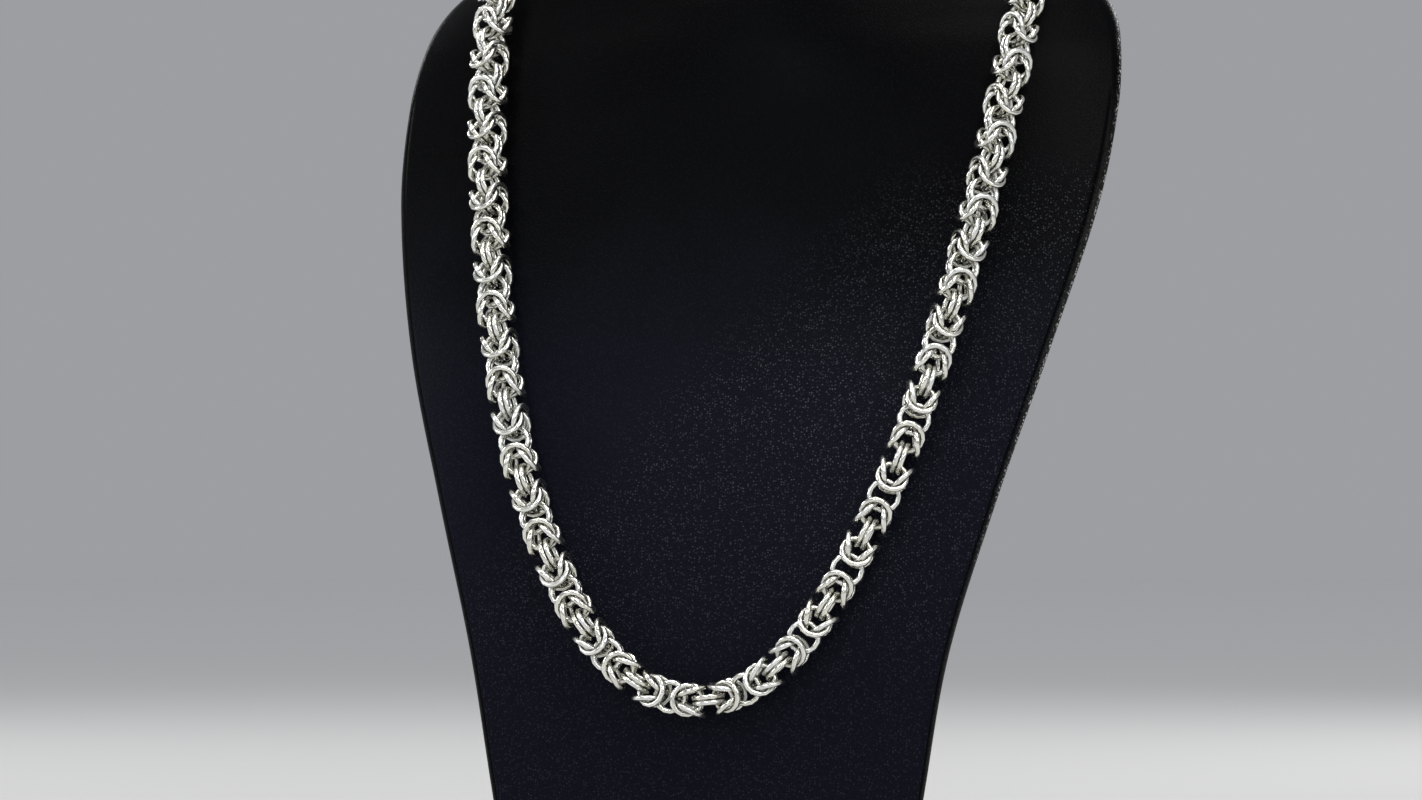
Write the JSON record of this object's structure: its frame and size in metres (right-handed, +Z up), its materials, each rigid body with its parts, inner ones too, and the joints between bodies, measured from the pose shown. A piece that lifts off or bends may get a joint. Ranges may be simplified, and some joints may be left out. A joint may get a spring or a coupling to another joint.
{
  "type": "silver byzantine link chain on a neck bust",
  "caption": "Neck chain of round silver rings in a Byzantine weave, hanging in a deep U on a plain black leatherette neck bust.",
  "frame": {"origin": "middle of the whole object's box, at the bottom: the bust's foot stands on z = 0", "axes": "+Z up, -Y the side that the bust's chest looks to, +X across the bust to the viewer's right"},
  "size_m": [0.1806, 0.1189, 0.28],
  "materials": {
    "leatherette": "black pebbled leatherette with a soft bluish sheen",
    "silver": "polished silver with darker recesses",
    "clasp_silver": "polished silver"
  },
  "bodies": {
    "root": {"bust_form": "leatherette", "chain_front": "silver", "chain_back": "silver", "clasp": "clasp_silver"}
  },
  "joints": []
}
